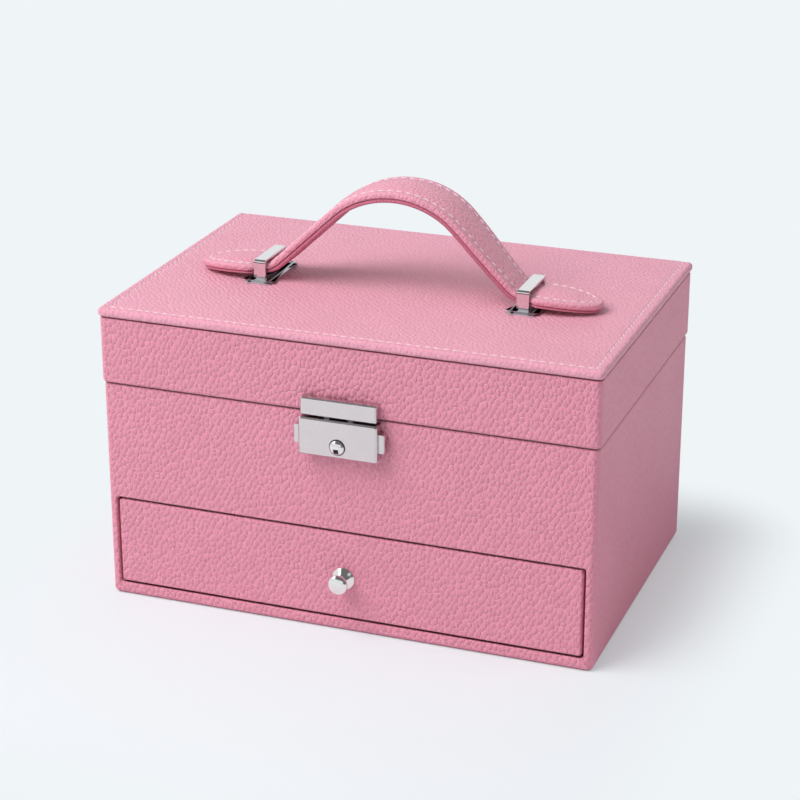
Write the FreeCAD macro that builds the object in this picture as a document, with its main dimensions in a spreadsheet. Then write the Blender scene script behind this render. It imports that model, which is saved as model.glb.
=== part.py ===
import FreeCAD, Part
import math
import operator
import os
import Sketcher

# A small vanity case: a boxed body with a drawer, a hinged lid with a padded
# top, a bowed carrying strap and a spring-tab lock. Millimetres, Z up, the
# front faces -Y, and the origin is the middle of the underside.
SIZES = {
    # body
    "case_w": 240.0, "case_d": 160.5, "seam_z": 108.5, "seam_gap": 0.4,
    "skin": 0.8, "board": 3.0, "corner_r": 3.0, "cover": 0.8, "lining": 0.6, "base_top": 6.0,
    # lid and padded panel
    "lid_over": 0.6, "lid_h": 32.7, "panel_t": 4.1, "panel_over": 0.6, "panel_round": 1.5,
    "mirror_side": 45.0, "mirror_end": 30.25, "mirror_t": 2.0,
    # drawer
    "stile": 4.25, "open_h": 44.7, "deck_gap": 1.3, "drawer_gap": 0.75, "drawer_wall": 2.5,
    "drawer_board": 4.0, "drawer_room": 4.45, "drawer_drop": 3.7,
    "knob_drop": 1.35, "knob_r": 4.85, "knob_reach": 9.8, "knob_neck": 2.1,
    # hinges
    "hinge_x": 70.0, "leaf_w": 30.0, "leaf_h": 16.0, "leaf_t": 0.9,
    "knuckle_r": 2.25, "pin_r": 1.1, "pin_gap": 0.05,
    # lock case on the body
    "lock_w": 38.1, "lock_drop": 18.9, "lock_h": 18.0, "lock_proud": 6.3, "lock_wall": 0.9,
    "sheet_t": 0.6, "post_x": 7.5, "post_t": 1.0, "post_reach": 5.0, "spring_half": 1.5,
    # release tabs and key
    "tab_out": 3.0, "tab_rise": 4.7, "tab_h": 8.9, "tab_proud": 4.5, "tab_in": 3.55,
    "slide_gap": 0.8, "slide_t": 1.85, "hook_x": 3.2, "hook_t": 1.0, "hook_rise": 5.1,
    "hook_h": 3.2, "finger_t": 1.0, "spring_rise": 3.4, "spring_w": 2.4, "spring_t": 0.3,
    "key_rise": 5.5, "key_r": 3.5, "cam_r": 4.2, "cam_half": 1.2,
    # hasp and tongue on the lid
    "hasp_w": 36.8, "hasp_h": 8.6, "hasp_proud": 4.75,
    "tongue_half": 7.0, "tongue_leg": 2.5, "tongue_y": 2.95, "tongue_t": 1.2,
    # keepers
    "keeper_x": 65.5, "handle_y": -7.0, "keeper_len": 26.4, "keeper_h": 12.2,
    "bar_w": 6.0, "bar_t": 1.6, "clinch": 4.0, "clinch_t": 1.2,
    "plate_w": 12.8, "plate_len": 34.0, "plate_t": 1.5,
    # strap
    "crown_rise": 46.7, "crown_r": 40.0, "flank_deg": 42.7, "foot_r": 18.0,
    "tab_lift": 4.5, "tab_len": 33.0, "tip_gap": 0.25, "strap_w": 27.0, "neck_w": 22.4,
    "tab_w": 25.0, "pad_edge": 3.0, "pad_rise": 1.5, "strap_under": 2.0,
    "core_w": 12.0, "core_t": 0.6, "core_gap": 0.15,
}

doc = FreeCAD.newDocument("train_case")
sheet = doc.addObject("Spreadsheet::Sheet", "Dims")
NODES = []


class Size:
    """A number that also remembers the sheet expression it comes from."""

    def __init__(self, text, value):
        self.text = text
        self.value = value

    def join(self, sign, action, other, swapped=False):
        first, second = (as_size(other), self) if swapped else (self, as_size(other))
        text = "(%s %s %s)" % (first.text, sign, second.text)
        return Size(text, action(first.value, second.value))

    def __add__(self, other):
        return self.join("+", operator.add, other)

    def __radd__(self, other):
        return self.join("+", operator.add, other, True)

    def __sub__(self, other):
        return self.join("-", operator.sub, other)

    def __rsub__(self, other):
        return self.join("-", operator.sub, other, True)

    def __mul__(self, other):
        return self.join("*", operator.mul, other)

    def __rmul__(self, other):
        return self.join("*", operator.mul, other, True)

    def __truediv__(self, other):
        return self.join("/", operator.truediv, other)

    def __neg__(self):
        return self.join("*", operator.mul, -1.0)


def as_size(number):
    return number if isinstance(number, Size) else Size("%.4f" % number, float(number))


class Names:
    pass


S = Names()
for row, (alias, number) in enumerate(SIZES.items(), start=1):
    sheet.set("A%d" % row, alias)
    sheet.set("B%d" % row, str(number))
    sheet.setAlias("B%d" % row, alias)
    setattr(S, alias, Size("Dims." + alias, number))
doc.recompute()


def bind(item, prop, number):
    item.setExpression(prop, as_size(number).text)


def keep(item):
    """Mark an object as one of the pieces to be exported under its label."""
    NODES.append(item.Label)
    return item


def side_range(sign, near, far):
    """A range of x given by distances from the middle, on one side."""
    return (near, far) if sign > 0 else (-as_size(far), -as_size(near))


def box(name, x, y, z):
    item = doc.addObject("Part::Box", name)
    for prop, axis, (low, high) in (("Length", "x", x), ("Width", "y", y), ("Height", "z", z)):
        bind(item, prop, as_size(high) - low)
        bind(item, "Placement.Base." + axis, low)
    return item


TURNS = {
    "x": FreeCAD.Rotation(FreeCAD.Vector(0, 1, 0), 90),
    "y": FreeCAD.Rotation(FreeCAD.Vector(1, 0, 0), -90),
    "z": FreeCAD.Rotation(),
}


def rod(name, axis, radius, start, length):
    """Cylinder from a start point along +axis."""
    item = doc.addObject("Part::Cylinder", name)
    item.Placement = FreeCAD.Placement(FreeCAD.Vector(), TURNS[axis])
    bind(item, "Radius", radius)
    bind(item, "Height", length)
    for letter, number in zip("xyz", start):
        bind(item, "Placement.Base." + letter, number)
    return item


def fuse(name, items):
    item = doc.addObject("Part::MultiFuse", name)
    item.Shapes = items
    item.Refine = True
    return item


def cut(name, base, tools):
    item = doc.addObject("Part::Cut", name)
    item.Base = base
    item.Tool = tools[0] if len(tools) == 1 else fuse(name + "_tools", tools)
    return item


def common(name, base, tool):
    item = doc.addObject("Part::Common", name)
    item.Base = base
    item.Tool = tool
    return item


def lock_point(sketch, line, point, x, y):
    """Hold one point of a sketch at (x, y) from the sketch origin."""
    for kind, number in (("DistanceX", x), ("DistanceY", y)):
        number = as_size(number)
        index = sketch.addConstraint(
            Sketcher.Constraint(kind, -1, 1, line, point, number.value))
        sketch.setExpression("Constraints[%d]" % index, number.text)


def outline(sketch, points):
    """Closed run of straight lines through points held by sizes."""
    vectors = [FreeCAD.Vector(as_size(x).value, as_size(y).value, 0) for x, y in points]
    count = len(points)
    for i in range(count):
        sketch.addGeometry(Part.LineSegment(vectors[i], vectors[(i + 1) % count]), False)
    for i in range(count):
        sketch.addConstraint(Sketcher.Constraint("Coincident", i, 2, (i + 1) % count, 1))
    for i, (x, y) in enumerate(points):
        lock_point(sketch, i, 1, x, y)


def rectangle(x, y):
    return [(x[0], y[0]), (x[1], y[0]), (x[1], y[1]), (x[0], y[1])]


def body_sketch(body, role, points, offset):
    sketch = body.newObject("Sketcher::SketchObject", body.Name + "_outline")
    plane = [f for f in body.Origin.OriginFeatures if f.Role == role][0]
    sketch.AttachmentSupport = [(plane, "")]
    sketch.MapMode = "FlatFace"
    bind(sketch, "AttachmentOffset.Base.z", offset)
    outline(sketch, points)
    return sketch


def padded(name, role, points, offset, length):
    """Body padded from an outline: along +Z from XY, -Y from XZ, +X from YZ."""
    body = doc.addObject("PartDesign::Body", name)
    sketch = body_sketch(body, role, points, offset)
    pad = body.newObject("PartDesign::Pad", name + "_pad")
    pad.Profile = sketch
    bind(pad, "Length", length)
    body.Tip = pad
    return body


def turned(name, points, height):
    """Body turned about the Y direction, from (radius, y) points at a height."""
    body = doc.addObject("PartDesign::Body", name)
    sketch = body_sketch(body, "XY_Plane", points, height)
    turn = body.newObject("PartDesign::Revolution", name + "_turn")
    turn.Profile = sketch
    turn.ReferenceAxis = (sketch, ["V_Axis"])
    turn.Angle = 360.0
    body.Tip = turn
    return body


def soften(body, wanted, amount, kind="Fillet"):
    """Round or bevel the edges of a body that pass a test on their middle."""
    doc.recompute()
    tip = body.Tip
    picked = []
    for number, edge in enumerate(tip.Shape.Edges, start=1):
        middle = edge.valueAt((edge.FirstParameter + edge.LastParameter) / 2)
        along = edge.tangentAt((edge.FirstParameter + edge.LastParameter) / 2)
        if wanted(middle, along):
            picked.append("Edge%d" % number)
    feature = body.newObject("PartDesign::" + kind, "%s_%s%d" % (body.Name, kind, len(body.Group)))
    feature.Base = (tip, picked)
    bind(feature, "Radius" if kind == "Fillet" else "Size", amount)
    body.Tip = feature
    return body


def upright(middle, along):
    return abs(along.z) > 0.99


def near(value, number):
    return abs(value - as_size(number).value) < 0.02


# Levels and faces shared by many pieces.
half_w = S.case_w / 2
half_d = S.case_d / 2
in_w = half_w - S.skin
in_d = half_d - S.skin
well_w = in_w - S.board
well_d = in_d - S.board
lid_w = half_w + S.lid_over
lid_d = half_d + S.lid_over
lid_in_w = lid_w - S.skin
lid_in_d = lid_d - S.skin
cave_w = lid_in_w - S.board
cave_d = lid_in_d - S.board
body_top = S.seam_z - S.seam_gap / 2
lid_low = S.seam_z + S.seam_gap / 2
lid_top = S.seam_z + S.lid_h
board_low = lid_top - S.board
panel_top = lid_top + S.panel_t
clinch_low = board_low - S.clinch_t
open_w = half_w - S.stile
open_top = S.base_top + S.open_h
deck_z = open_top + S.deck_gap
lock_low = S.seam_z - S.lock_drop
tab_low = lock_low + S.tab_rise
key_z = lock_low + S.key_rise
crown_z = panel_top + S.crown_rise
tab_z = panel_top + S.tab_lift
tab_reach = S.keeper_x + S.tab_len
inner_r = S.corner_r - S.skin
axis_y = lid_d + S.knuckle_r + 0.2
axis_z = S.seam_z


def block(name, x, y, z, radius=None):
    """Upright block, with rounded upright corners when a radius is given."""
    body = padded(name, "XY_Plane", rectangle(x, y), z[0], as_size(z[1]) - z[0])
    return soften(body, upright, radius) if radius else body


def side_wall(name, sign, x, y, z, radius):
    """Side board whose two outer upright corners follow the leather round."""
    body = padded(name, "XY_Plane", rectangle(side_range(sign, *x), y), z[0], z[1] - z[0])
    outer = sign * as_size(x[1]).value
    return soften(body, lambda m, a: upright(m, a) and near(m.x, outer), radius)


SIDES = (("left", -1), ("right", 1))


def make_body_shell():
    keep(block("base_cover", (-in_w + 0.2, in_w - 0.2), (-in_d + 0.2, in_d - 0.2), (0.0, S.cover),
               inner_r))
    keep(box("base_board", (-well_w, well_w), (-in_d, well_d), (S.cover, S.base_top)))
    for side, sign in SIDES:
        keep(side_wall(side + "_side_board", sign, (well_w, in_w), (-in_d, in_d),
                       (S.cover, body_top), inner_r))
    keep(box("back_board", (-well_w, well_w), (well_d, in_d), (S.cover, body_top)))
    keep(box("front_board", (-well_w, well_w), (-in_d, -well_d), (open_top, body_top)))
    keep(box("deck_board", (-well_w, well_w), (-well_d, well_d), (deck_z, deck_z + S.board)))

    outer = block("body_skin_outer", (-half_w, half_w), (-half_d, half_d), (0.3, body_top), S.corner_r)
    inner = block("body_skin_inner", (-in_w, in_w), (-in_d, in_d), (0.0, S.seam_z + 1.0), inner_r)
    mouth = box("drawer_mouth", (-open_w, open_w), (-half_d - 1.0, -in_d + 1.0),
                (S.base_top, open_top))
    keep(cut("body_leather", outer, [inner, mouth]))

    floor = deck_z + S.board
    wide = box("well_outer", (-well_w, well_w), (-well_d, well_d), (floor, body_top - 0.4))
    room = box("well_room", (-well_w + S.lining, well_w - S.lining),
               (-well_d + S.lining, well_d - S.lining), (floor + S.lining, S.seam_z + 1.0))
    keep(cut("well_lining", wide, [room]))


def make_lid_shell():
    for side, sign in SIDES:
        keep(side_wall("lid_%s_board" % side, sign, (cave_w, lid_in_w), (-lid_in_d, lid_in_d),
                       (lid_low, board_low), inner_r))
    keep(box("lid_front_board", (-cave_w, cave_w), (-lid_in_d, -cave_d), (lid_low, board_low)))
    keep(box("lid_back_board", (-cave_w, cave_w), (cave_d, lid_in_d), (lid_low, board_low)))
    top = block("lid_top_blank", (-lid_in_w, lid_in_w), (-lid_in_d, lid_in_d),
                (board_low, lid_top), inner_r)
    keep(cut("lid_top_board", top, keeper_slots))

    outer = block("lid_skin_outer", (-lid_w, lid_w), (-lid_d, lid_d),
                  (lid_low, lid_top - 0.3), S.corner_r)
    inner = block("lid_skin_inner", (-lid_in_w, lid_in_w), (-lid_in_d, lid_in_d),
                  (S.seam_z - 1.0, lid_top + 1.0), inner_r)
    keep(cut("lid_leather", outer, [inner]))

    pad_w = lid_w + S.panel_over
    pad_d = lid_d + S.panel_over
    panel = block("panel_blank", (-pad_w, pad_w), (-pad_d, pad_d), (lid_top, panel_top),
                  S.corner_r + S.panel_over)
    low, high = lid_top.value, panel_top.value
    soften(panel, lambda m, a: near(m.z, low) or near(m.z, high), S.panel_round)
    keep(cut("top_panel", panel, keeper_slots))

    wide = box("cave_outer", (-cave_w, cave_w), (-cave_d, cave_d), (lid_low + 0.4, clinch_low - 0.1))
    room = box("cave_room", (-cave_w + S.lining, cave_w - S.lining),
               (-cave_d + S.lining, cave_d - S.lining),
               (S.seam_z - 1.0, clinch_low - 0.1 - S.lining))
    keep(cut("lid_lining", wide, [room]))
    ceiling = clinch_low - 0.1 - S.lining
    keep(box("mirror_glass", (-half_w + S.mirror_side, half_w - S.mirror_side),
             (-half_d + S.mirror_end, half_d - S.mirror_end),
             (ceiling - S.mirror_t, ceiling)))


def hinge_leaf(name, x, face, up, knuckles):
    """Leaf on a back face with its share of the three knuckles. up is 1 or -1."""
    pitch = S.leaf_w / 3
    ends = (axis_z + up * 2.6, axis_z + up * S.leaf_h)
    plate = box(name + "_plate", (x - S.leaf_w / 2, x + S.leaf_w / 2), (face, face + S.leaf_t),
                ends if up > 0 else ends[::-1])
    pieces = [plate]
    for number in knuckles:
        start = x - S.leaf_w / 2 + number * pitch + 0.15
        pieces.append(rod("%s_barrel%d" % (name, number), "x", S.knuckle_r,
                          (start, axis_y, axis_z), pitch - 0.3))
        rise = (axis_z + up * 1.2, axis_z + up * 3.0)
        pieces.append(box("%s_web%d" % (name, number), (start, start + pitch - 0.3),
                          (face, axis_y), rise if up > 0 else rise[::-1]))
    bore = rod(name + "_pin_bore", "x", S.pin_r + S.pin_gap,
               (x - S.leaf_w / 2 - 1.0, axis_y, axis_z), S.leaf_w + 2.0)
    return pieces, bore


def make_hinges():
    for side, sign in SIDES:
        x = sign * S.hinge_x
        for half, up, face, knuckles in (("body", -1, half_d, (0, 2)), ("lid", 1, lid_d, (1,))):
            name = "%s_hinge_%s_leaf" % (side, half)
            pieces, bore = hinge_leaf(name, x, face, up, knuckles)
            keep(cut(name, fuse(name + "_whole", pieces), [bore]))
        keep(rod(side + "_hinge_pin", "x", S.pin_r,
                 (x - S.leaf_w / 2 - 0.5, axis_y, axis_z), S.leaf_w + 1.0))


# Slots the keeper legs pass through.
keeper_slots = []
leg_mid = S.keeper_len / 2 - S.bar_t / 2
for side, sign in SIDES:
    for end, word in ((-1, "front"), (1, "rear")):
        mid_x = sign * S.keeper_x
        mid_y = S.handle_y + end * leg_mid
        keeper_slots.append(box(
            "%s_%s_slot" % (side, word),
            (mid_x - S.bar_w / 2 - 0.15, mid_x + S.bar_w / 2 + 0.15),
            (mid_y - S.bar_t / 2 - 0.15, mid_y + S.bar_t / 2 + 0.15),
            (board_low - 1.0, panel_top + S.plate_t + 1.0)))


def make_keepers():
    reach = S.keeper_len / 2
    top = panel_top + S.keeper_h
    for side, sign in SIDES:
        x = sign * S.keeper_x
        plate = block(side + "_plate_blank", (x - S.plate_w / 2, x + S.plate_w / 2),
                      (S.handle_y - S.plate_len / 2, S.handle_y + S.plate_len / 2),
                      (panel_top, panel_top + S.plate_t), 2.0)
        high = (panel_top + S.plate_t).value
        soften(plate, lambda m, a: near(m.z, high), 0.8, "Chamfer")
        keep(cut(side + "_keeper_plate", plate, keeper_slots))

        half_path = [(reach, top), (reach, board_low), (reach + S.clinch, board_low),
                     (reach + S.clinch, clinch_low), (reach - S.bar_t, clinch_low),
                     (reach - S.bar_t, top - S.bar_t)]
        points = [(S.handle_y + y, z) for y, z in half_path]
        points += [(S.handle_y - y, z) for y, z in reversed(half_path)]
        bar = padded(side + "_keeper", "YZ_Plane", points, x - S.bar_w / 2, S.bar_w)
        crest, inside = top.value, (top - S.bar_t).value
        soften(bar, lambda m, a: near(m.z, crest) and abs(a.x) > 0.99, 4.0)
        soften(bar, lambda m, a: near(m.z, inside) and abs(a.x) > 0.99, 2.4)
        floor = high + 0.5
        soften(bar, lambda m, a: abs(a.x) < 0.5 and m.z > floor, 0.4, "Chamfer")
        keep(bar)


# Places inside the lock.
tongue_front = S.tongue_y + S.tongue_t
slide_front = S.slide_gap + S.slide_t
hook_z = (tab_low + S.hook_rise, tab_low + S.hook_rise + S.hook_h)
spring_z = tab_low + S.spring_rise
block_in = S.lock_w / 2 - S.tab_in


def ahead(front, back):
    """Range of y between two distances in front of the body face."""
    return (-half_d - front, -half_d - back)


def make_lock_case():
    half, wall = S.lock_w / 2, S.lock_wall
    high = lock_low + S.lock_h
    shell = padded("lock_blank", "XZ_Plane", rectangle((-half, half), (lock_low, high)),
                   half_d, S.lock_proud)
    soften(shell, lambda m, a: abs(a.y) > 0.99, 1.2)
    front = (-half_d - S.lock_proud).value
    soften(shell, lambda m, a: near(m.y, front), 0.7, "Chamfer")
    slot = S.tongue_half + 0.5
    rooms = [
        box("lock_room", (-half + wall, half - wall), ahead(S.lock_proud - wall, -0.5),
            (lock_low + wall, high - wall)),
        box("tongue_slot", (-slot, slot), ahead(tongue_front + 0.55, S.tongue_y - 0.55),
            (high - 2 * wall, high + 1.0)),
        rod("key_bore", "y", S.key_r + 0.2, (0.0, -half_d - S.lock_proud - 1.0, key_z), wall + 2.0),
    ]
    for side, sign in SIDES:
        rooms.append(box(side + "_tab_slot", side_range(sign, half - 2 * wall, half + 1.0),
                         ahead(S.tab_proud + 0.2, -0.5), (tab_low - 0.2, tab_low + S.tab_h + 0.2)))
    keep(cut("lock_case", shell, rooms))

    inset = half - wall - 0.1
    plate = [box("lock_plate_sheet", (-inset, inset), ahead(S.sheet_t, 0.0),
                 (lock_low + wall + 0.1, high - wall - 0.1))]
    for side, sign in SIDES:
        plate.append(box(side + "_spring_post", side_range(sign, S.post_x, S.post_x + S.post_t),
                         ahead(S.post_reach, S.sheet_t / 2),
                         (spring_z - S.spring_half, spring_z + S.spring_half)))
    keep(fuse("lock_back_plate", plate))


def make_release_tab(side, sign):
    """Side tab with its hook, its arm and the finger that the key cam faces."""
    out = S.lock_w / 2 + S.tab_out
    tab = padded(side + "_tab_block", "XZ_Plane",
                 rectangle(side_range(sign, block_in, out), (tab_low, tab_low + S.tab_h)),
                 half_d + S.slide_gap, S.tab_proud - S.slide_gap)
    end = sign * out.value
    soften(tab, lambda m, a: near(m.x, end), 0.9)
    join = block_in + S.tab_in / 4
    cam_clear = S.cam_r + 2.8
    pieces = [
        tab,
        box(side + "_arm", side_range(sign, S.hook_x, join), ahead(slide_front, S.slide_gap), hook_z),
        box(side + "_hook", side_range(sign, S.hook_x, S.hook_x + S.hook_t),
            ahead(tongue_front, S.slide_gap), hook_z),
        box(side + "_finger", side_range(sign, cam_clear, join),
            ahead(S.slide_gap + S.finger_t, S.slide_gap), (key_z - 0.7, key_z + 0.8)),
    ]
    keep(fuse(side + "_release_tab", pieces))


def make_tab_spring(side, sign):
    """Leaf spring folded to and fro between the post and the tab."""
    folds = 4
    start = S.post_x + S.post_t
    swing = S.spring_half - S.spring_t
    step = (block_in - start) / folds
    lower = []
    for fold in range(folds + 1):
        rise = swing if fold % 2 else -swing
        lower.append((sign * (start + fold * step), spring_z + rise))
    upper = [(x, z + S.spring_t) for x, z in reversed(lower)]
    keep(padded(side + "_tab_spring", "XZ_Plane", lower + upper,
                half_d + S.slide_gap + 1.3, S.spring_w))


def make_key():
    front = -half_d - S.lock_proud
    stem_end = S.slide_gap + S.finger_t
    barrel = rod("key_barrel", "y", S.key_r, (0.0, front - 0.5, key_z),
                 S.lock_proud + 0.5 - stem_end - 0.2)
    flange = rod("key_flange", "y", S.key_r + 0.8, (0.0, front + S.lock_wall + 0.15, key_z), 0.8)
    stem = rod("key_stem", "y", S.cam_half + 0.3, (0.0, -half_d - stem_end - 0.4, key_z), 1.0)
    cam = box("key_cam", (-S.cam_half, S.cam_half), ahead(stem_end, S.slide_gap + 0.05),
              (key_z - S.cam_r, key_z + S.cam_r))
    slot = box("key_slot", (-0.45, 0.45), (front - 1.0, front + 2.0),
               (key_z - 0.7 * S.key_r, key_z + 0.4 * S.key_r))
    keep(cut("key_cylinder", fuse("key_whole", [barrel, flange, stem, cam]), [slot]))


def make_hasp():
    half = S.hasp_w / 2
    low = S.seam_z - 0.1
    plate = padded("hasp_blank", "XZ_Plane", rectangle((-half, half), (low, low + S.hasp_h)),
                   lid_d, S.hasp_proud)
    soften(plate, lambda m, a: abs(a.y) > 0.99, 0.8)
    front = (-lid_d - S.hasp_proud).value
    soften(plate, lambda m, a: near(m.y, front), 0.6, "Chamfer")
    root_z = low + 0.4 * S.hasp_h
    edge = S.tongue_half + 0.05
    pocket = box("tongue_pocket", (-edge, edge), ahead(tongue_front + 0.05, S.tongue_y - 0.05),
                 (low - 1.0, root_z))
    keep(cut("hasp_plate", plate, [pocket]))

    strip = box("tongue_strip", (-S.tongue_half, S.tongue_half), ahead(tongue_front, S.tongue_y),
                (hook_z[0] - 0.4, root_z))
    inner = S.tongue_half - S.tongue_leg
    gap = box("tongue_gap", (-inner, inner), ahead(tongue_front + 1.0, S.tongue_y - 1.0),
              (lock_low, low + 0.4))
    keep(cut("hasp_tongue", strip, [gap]))


def sine(size):
    return Size("sin(%s * 1 deg)" % size.text, math.sin(math.radians(size.value)))


def cosine(size):
    return Size("cos(%s * 1 deg)" % size.text, math.cos(math.radians(size.value)))


def add_arc(sketch, centre, radius, start_deg, end_deg):
    spot = FreeCAD.Vector(as_size(centre[0]).value, as_size(centre[1]).value, 0)
    circle = Part.Circle(spot, FreeCAD.Vector(0, 0, 1), as_size(radius).value)
    arc = Part.ArcOfCircle(circle, math.radians(start_deg), math.radians(end_deg))
    number = sketch.addGeometry(arc, False)
    index = sketch.addConstraint(Sketcher.Constraint("Radius", number, as_size(radius).value))
    sketch.setExpression("Constraints[%d]" % index, as_size(radius).text)
    return number


def strap_path():
    """Half of the strap's mid line: crown arc, flank, foot arc, drooping tab."""
    path = doc.addObject("Sketcher::SketchObject", "strap_path")
    turn = FreeCAD.Rotation(FreeCAD.Vector(1, 0, 0), 90)
    path.Placement = FreeCAD.Placement(FreeCAD.Vector(), turn)
    bind(path, "Placement.Base.y", S.handle_y)
    lean = S.flank_deg.value
    sin_a, cos_a = sine(S.flank_deg), cosine(S.flank_deg)
    shoulder = (S.crown_r * sin_a, crown_z - S.crown_r + S.crown_r * cos_a)
    foot_z = tab_z + S.foot_r - S.foot_r * cos_a
    foot = (shoulder[0] + (shoulder[1] - foot_z) * cos_a / sin_a, foot_z)
    level_x = foot[0] + S.foot_r * sin_a
    reach = tab_reach - level_x
    drop = tab_z - (panel_top + S.tip_gap + S.strap_under)
    droop_r = (reach * reach + drop * drop) / (2 * drop)
    tip = (tab_reach, tab_z - drop)
    droop = math.degrees(math.asin(reach.value / droop_r.value))

    crown_arc = add_arc(path, (0.0, crown_z - S.crown_r), S.crown_r, 90 - lean, 90)
    ends = [FreeCAD.Vector(p[0].value, p[1].value, 0) for p in (shoulder, foot)]
    flank = path.addGeometry(Part.LineSegment(*ends), False)
    foot_arc = add_arc(path, (level_x, tab_z + S.foot_r), S.foot_r, 270 - lean, 270)
    tab_arc = add_arc(path, (level_x, tab_z - droop_r), droop_r, 90 - droop, 90)
    for first, second in (((crown_arc, 1), (flank, 1)), ((flank, 2), (foot_arc, 1)),
                          ((foot_arc, 2), (tab_arc, 2))):
        path.addConstraint(Sketcher.Constraint("Coincident", *first, *second))
    lock_point(path, crown_arc, 2, 0.0, crown_z)
    lock_point(path, flank, 1, *shoulder)
    lock_point(path, flank, 2, *foot)
    lock_point(path, tab_arc, 2, level_x, tab_z)
    lock_point(path, tab_arc, 1, *tip)
    return path


def strap_section(name, points, crowned=False):
    """Section at the crown, drawn as (across, up) from the strap's mid line."""
    section = doc.addObject("Sketcher::SketchObject", name)
    turn = FreeCAD.Rotation(FreeCAD.Vector(1, 1, 1), 120)
    section.Placement = FreeCAD.Placement(FreeCAD.Vector(), turn)
    bind(section, "Placement.Base.y", S.handle_y)
    bind(section, "Placement.Base.z", crown_z)
    if not crowned:
        outline(section, points)
        return section
    vectors = [FreeCAD.Vector(as_size(x).value, as_size(y).value, 0) for x, y in points]
    last = len(points) - 1
    for i in range(last):
        section.addGeometry(Part.LineSegment(vectors[i], vectors[i + 1]), False)
    half, rise = as_size(points[last][0]), S.pad_rise
    half = -half
    radius = (half * half + rise * rise) / (2 * rise)
    middle_y = as_size(points[last][1]) + rise - radius
    swing = math.degrees(math.asin(half.value / radius.value))
    arc = add_arc(section, (0.0, middle_y), radius, 90 - swing, 90 + swing)
    for i in range(last - 1):
        section.addConstraint(Sketcher.Constraint("Coincident", i, 2, i + 1, 1))
    section.addConstraint(Sketcher.Constraint("Coincident", last - 1, 2, arc, 2))
    section.addConstraint(Sketcher.Constraint("Coincident", arc, 1, 0, 1))
    for i in range(last):
        lock_point(section, i, 1, *points[i])
    lock_point(section, last - 1, 2, *points[last])
    return section


def swept(name, path, section):
    """Section swept along the half path, and joined to its mirror image."""
    half = doc.addObject("Part::Sweep", name + "_half")
    half.Sections = [section]
    half.Spine = (path, ["Edge1", "Edge2", "Edge3", "Edge4"])
    half.Solid = True
    half.Frenet = False
    other = doc.addObject("Part::Mirroring", name + "_mirror")
    other.Source = half
    other.Normal = FreeCAD.Vector(1, 0, 0)
    return fuse(name, [half, other])


def strap_plan():
    """Seen from above: wide crown, narrow necks in the keepers, oval tabs."""
    wide, neck, tab = S.strap_w / 2, S.neck_w / 2, S.tab_w / 2
    tip = tab_reach + 0.5
    stations = [(S.keeper_x - 26.0, wide), (S.keeper_x - 6.0, neck), (S.keeper_x + 5.0, neck),
                (S.keeper_x + 10.5, tab), (tip, tab)]
    ring = [(x, S.handle_y - y) for x, y in stations]
    ring += [(x, S.handle_y + y) for x, y in reversed(stations)]
    ring += [(-x, S.handle_y + y) for x, y in stations]
    ring += [(-x, S.handle_y - y) for x, y in reversed(stations)]
    plan = padded("strap_plan", "XY_Plane", ring, lid_top, crown_z - lid_top + 20.0)
    end = tip.value
    soften(plan, lambda m, a: upright(m, a) and near(abs(m.x), end), tab - 0.2)
    soften(plan, lambda m, a: upright(m, a) and abs(m.x) < end - 14, 15.0)
    return plan


def make_handle():
    path = strap_path()
    plan = strap_plan()
    half = S.strap_w / 2 + 0.3
    room, roof = S.core_w / 2 + S.core_gap, S.core_t + S.core_gap
    top = [(half, S.pad_edge), (half, 0.05), (room, 0.05), (room, roof), (-room, roof),
           (-room, 0.05), (-half, 0.05), (-half, S.pad_edge)]
    upper = swept("strap_sweep", path, strap_section("strap_top_section", top, True))
    keep(common("handle_strap", upper, plan))
    under = rectangle((-half, half), (-S.strap_under, -0.05))
    lower = swept("lining_sweep", path, strap_section("strap_under_section", under))
    keep(common("handle_lining", lower, plan))
    core = swept("core_sweep", path,
                 strap_section("strap_core_section", rectangle((-S.core_w / 2, S.core_w / 2), (0.0, S.core_t))))
    length = box("core_length", (-tab_reach + 5.0, tab_reach - 5.0),
                 (S.handle_y - S.core_w, S.handle_y + S.core_w), (lid_top, crown_z + 10.0))
    keep(common("handle_core", core, length))


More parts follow.
